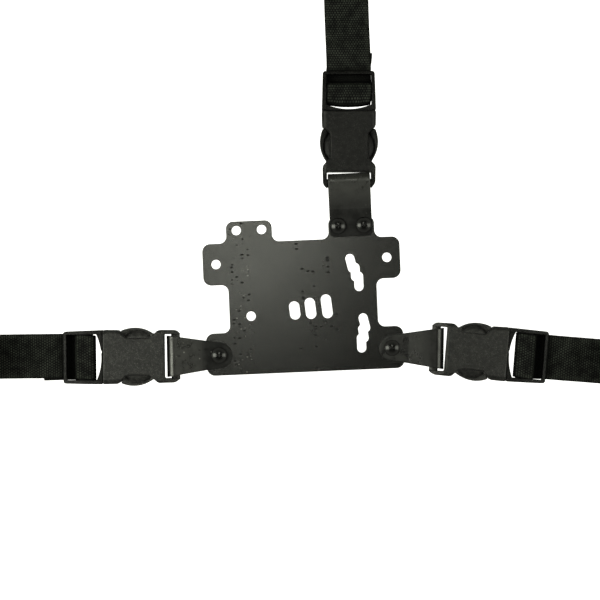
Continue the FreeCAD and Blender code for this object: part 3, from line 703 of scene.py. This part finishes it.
def make_tie(arm):
    """A knitted band through the roll and over its top, closed by an overlap with two rows of stitches."""
    name = arm.name
    inside = WEBBING[0] / 2 + TIE_CLEAR[0]
    top = arm.roll_radius + TIE_CLEAR[1]
    centre_z = BUCKLE_BACK + arm.roll_radius
    start = 4.0
    overlap = top + 1.0
    loop = [
        (start, top, 0),
        (inside, top, 1.6),
        (inside, 0.0, 1.2),
        (-inside, 0.0, 1.2),
        (-inside, top, 1.6),
        (-1.0, top + 0.05, 3.0),
        (start, overlap, 6.0),
        (start + 6.5, overlap, 0),
    ]
    section = ribbon_section(*TIE, 8)

    def place(across, along, up):
        return arm.at(arm.roll_station + along, across + arm.facts["drift"][2], centre_z + up)

    obj, _ = ribbon(f"{name}_band", softened(path_points(loop, 0.5), 2), section, place, "tie_fabric", taper=0.4)
    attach(obj, f"{name}_buckle_plug")
    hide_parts(f"{name}_roll_tie")
    bm = bmesh.new()
    weave = bm.verts.layers.float_vector.new("weave")
    tilt = Matrix.Rotation(math.radians(12), 4, "Z")
    for row in (start + 1.0, start + 5.3):
        for k in range(5):
            along = -2.2 + 1.1 * k
            shape = bmesh.ops.create_uvsphere(bm, u_segments=10, v_segments=6, radius=1.0)
            for vert in shape["verts"]:
                local = tilt @ Vector([c * size for c, size in zip(vert.co, STITCH)])
                vert.co = place(row + local.x, along + local.y, top + STITCH_HEIGHT + local.z)
                vert[weave] = Vector((vert.co.x, vert.co.y, 0))
    mesh = bpy.data.meshes.new(f"{name}_band_stitches")
    bm.to_mesh(mesh)
    bm.free()
    mesh.shade_smooth()
    stitches = new_object(f"{name}_band_stitches", mesh, "tie_fabric")
    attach(stitches, f"{name}_buckle_plug")


def make_latch(arm, latch, side):
    """The latch arm joined in one mesh with the neck that runs to the plug."""
    node_name = f"{arm.name}_buckle_{latch}_latch"
    mesh = frame["nodes"][node_name].data.copy()
    bm = bmesh.new()
    bm.from_mesh(mesh)
    bmesh.ops.remove_doubles(bm, verts=bm.verts, dist=1e-6)
    bm.to_mesh(mesh)
    bm.free()
    obj = new_object(f"{arm.name}_{latch}_latch_arm", mesh, "buckle_plastic")

    neck = bpy.data.meshes.new("neck")
    bm = bmesh.new()
    rings = []
    steps = 10
    low, high = NECK_HEIGHTS
    for k in range(steps + 1):
        station = NECK[0] + (NECK[1] - NECK[0]) * k / steps
        half = NECK_HALF + FLARE[2] * max(0.0, (station - FLARE[0]) / FLARE[1]) ** 2
        corners = ((half, low), (half, high), (-half, high), (-half, low))
        rings.append([bm.verts.new(arm.at(station, side * NECK_ACROSS + y, z)) for y, z in corners])
    for a, b in zip(rings, rings[1:]):
        for k in range(4):
            bm.faces.new((a[k], a[(k + 1) % 4], b[(k + 1) % 4], b[k]))
    bm.faces.new(rings[0][::-1])
    bm.faces.new(rings[-1])
    bmesh.ops.recalc_face_normals(bm, faces=bm.faces)
    bm.to_mesh(neck)
    bm.free()
    tool = bpy.data.objects.new("neck", neck)
    bpy.context.scene.collection.objects.link(tool)
    union = obj.modifiers.new("join", "BOOLEAN")
    union.operation = "UNION"
    union.solver = "EXACT"
    union.object = tool
    joined = bpy.data.meshes.new_from_object(obj.evaluated_get(bpy.context.evaluated_depsgraph_get()))
    obj.modifiers.clear()
    obj.data = joined
    joined.name = obj.name
    bpy.data.objects.remove(tool)
    joined.shade_smooth()
    joined.set_sharp_from_angle(angle=math.radians(38))
    painted(obj, "buckle_plastic")
    # The top latch arms take the plugs' darker paint as painted shade; the others take the paler copy as painted
    # highlight.
    joined.materials[0] = PLUG_PAINT if arm.name == "top" else LATCH_LIT_PAINT
    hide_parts(node_name)
    arm.at(BEND[1], side * NECK_ACROSS, 0)
    arm.at(BEND[0], side * NECK_ACROSS, 0)
    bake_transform(obj)


for arm in arms.values():
    make_strap(arm)
    make_tie(arm)
    for latch, side in arm.facts["latches"].items():
        make_latch(arm, latch, side)


# ---------------------------------------------------------------- stage, light and camera
# The arms can swing down behind the plate, so the floor lies below their reach.
ARM_REACH = 0.15
FLOOR_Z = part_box("left_post")[0].z - ARM_REACH
LIGHT_TINT = (0.98, 1.0, 0.87)
WALL_GLOW = 0.4
CEILING_GLOW = 0.015
FLOOR_GLOW = 0.2
paper = stage_paint()


def stage_piece(name, build):
    """A white surface that only the camera sees, so that it throws no light into holes and on to edges."""
    bm = bmesh.new()
    build(bm)
    mesh = bpy.data.meshes.new(name)
    bm.to_mesh(mesh)
    bm.free()
    mesh.materials.append(paper)
    obj = bpy.data.objects.new(name, mesh)
    bpy.context.scene.collection.objects.link(obj)
    obj.visible_diffuse = False
    obj.visible_glossy = False
    obj.visible_transmission = False
    obj.visible_shadow = False


def floor_mesh(bm):
    bmesh.ops.create_grid(bm, x_segments=1, y_segments=1, size=4.0, matrix=Matrix.Translation((0, 0, FLOOR_Z)))


def backdrop_mesh(bm):
    bmesh.ops.create_uvsphere(bm, u_segments=32, v_segments=16, radius=9.0)


stage_piece("studio_floor", floor_mesh)
stage_piece("studio_backdrop", backdrop_mesh)


def studio_world():
    """A dim room: pale walls low down all round, a dark ceiling, and a little light back from the floor."""
    world = bpy.data.worlds.new("studio")
    world.use_nodes = True
    tree = world.node_tree
    background = tree.nodes["Background"]
    background.inputs[0].default_value = (*LIGHT_TINT, 1.0)
    where = tree.nodes.new("ShaderNodeTexCoord")
    height = tree.nodes.new("ShaderNodeSeparateXYZ")
    tree.links.new(where.outputs["Generated"], height.inputs[0])
    levels = []
    for low, high, at_low, at_high in ((0.4, 0.88, WALL_GLOW, CEILING_GLOW), (-0.05, 0.1, FLOOR_GLOW, WALL_GLOW)):
        level = tree.nodes.new("ShaderNodeMapRange")
        tree.links.new(height.outputs[2], level.inputs["Value"])
        for key, value in (("From Min", low), ("From Max", high), ("To Min", at_low), ("To Max", at_high)):
            level.inputs[key].default_value = value
        levels.append(level)
    least = tree.nodes.new("ShaderNodeMath")
    least.operation = "MINIMUM"
    tree.links.new(levels[0].outputs[0], least.inputs[0])
    tree.links.new(levels[1].outputs[0], least.inputs[1])
    tree.links.new(least.outputs[0], background.inputs[1])
    bpy.context.scene.world = world


studio_world()

# The point that the camera looks at, the direction that is up in the picture, and half the picture's width there.
TARGET = Vector((-1.74, -22.19, 2.4)) * MM
UP = Vector((0.0424, 0.9991, 0.0)).normalized()
RIGHT = UP.cross(Vector((0, 0, 1)))
HALF_VIEW = 170.4 * MM


def softbox(name, direction, distance, size, power, roll=0.0):
    """An area light that looks at the target; direction is (right, up, toward the camera), roll in degrees."""
    light = bpy.data.lights.new(name, "AREA")
    light.shape = "RECTANGLE"
    light.size, light.size_y = size
    light.energy = power
    light.color = LIGHT_TINT
    obj = bpy.data.objects.new(name, light)
    bpy.context.scene.collection.objects.link(obj)
    away = (RIGHT * direction[0] + UP * direction[1] + Vector((0, 0, direction[2]))).normalized()
    obj.location = TARGET + away * distance
    obj.rotation_mode = "QUATERNION"
    turn = Matrix.Rotation(math.radians(roll), 3, "Z").to_quaternion()
    obj.rotation_quaternion = (-away).to_track_quat("-Z", "Y") @ turn
    obj.visible_camera = False


softbox("overhead_softbox", (-0.055, 0.31, 1.5), 1.55, (0.16, 0.68), 2.9, -20.0)
softbox("left_softbox", (-1.0, 0.0, 0.8), 1.3, (0.7, 1.0), 12.0)
softbox("right_softbox", (1.0, 0.0, 0.8), 1.3, (0.7, 1.0), 6.5)

camera_data = bpy.data.cameras.new("camera")
camera_data.lens = 85.0
camera_data.sensor_width = 36.0
camera_data.clip_start = 0.01
camera_data.clip_end = 20.0
camera = bpy.data.objects.new("camera", camera_data)
bpy.context.scene.collection.objects.link(camera)
distance = HALF_VIEW / (camera_data.sensor_width / 2 / camera_data.lens)
camera.location = TARGET + Vector((0, 0, distance))
camera.rotation_mode = "QUATERNION"
camera.rotation_quaternion = Matrix((RIGHT, UP, Vector((0, 0, 1)))).transposed().to_quaternion()
bpy.context.scene.camera = camera

view = bpy.context.scene.view_settings
view.view_transform = "Standard"
view.look = "None"
view.exposure = 0.0
view.gamma = 1.0
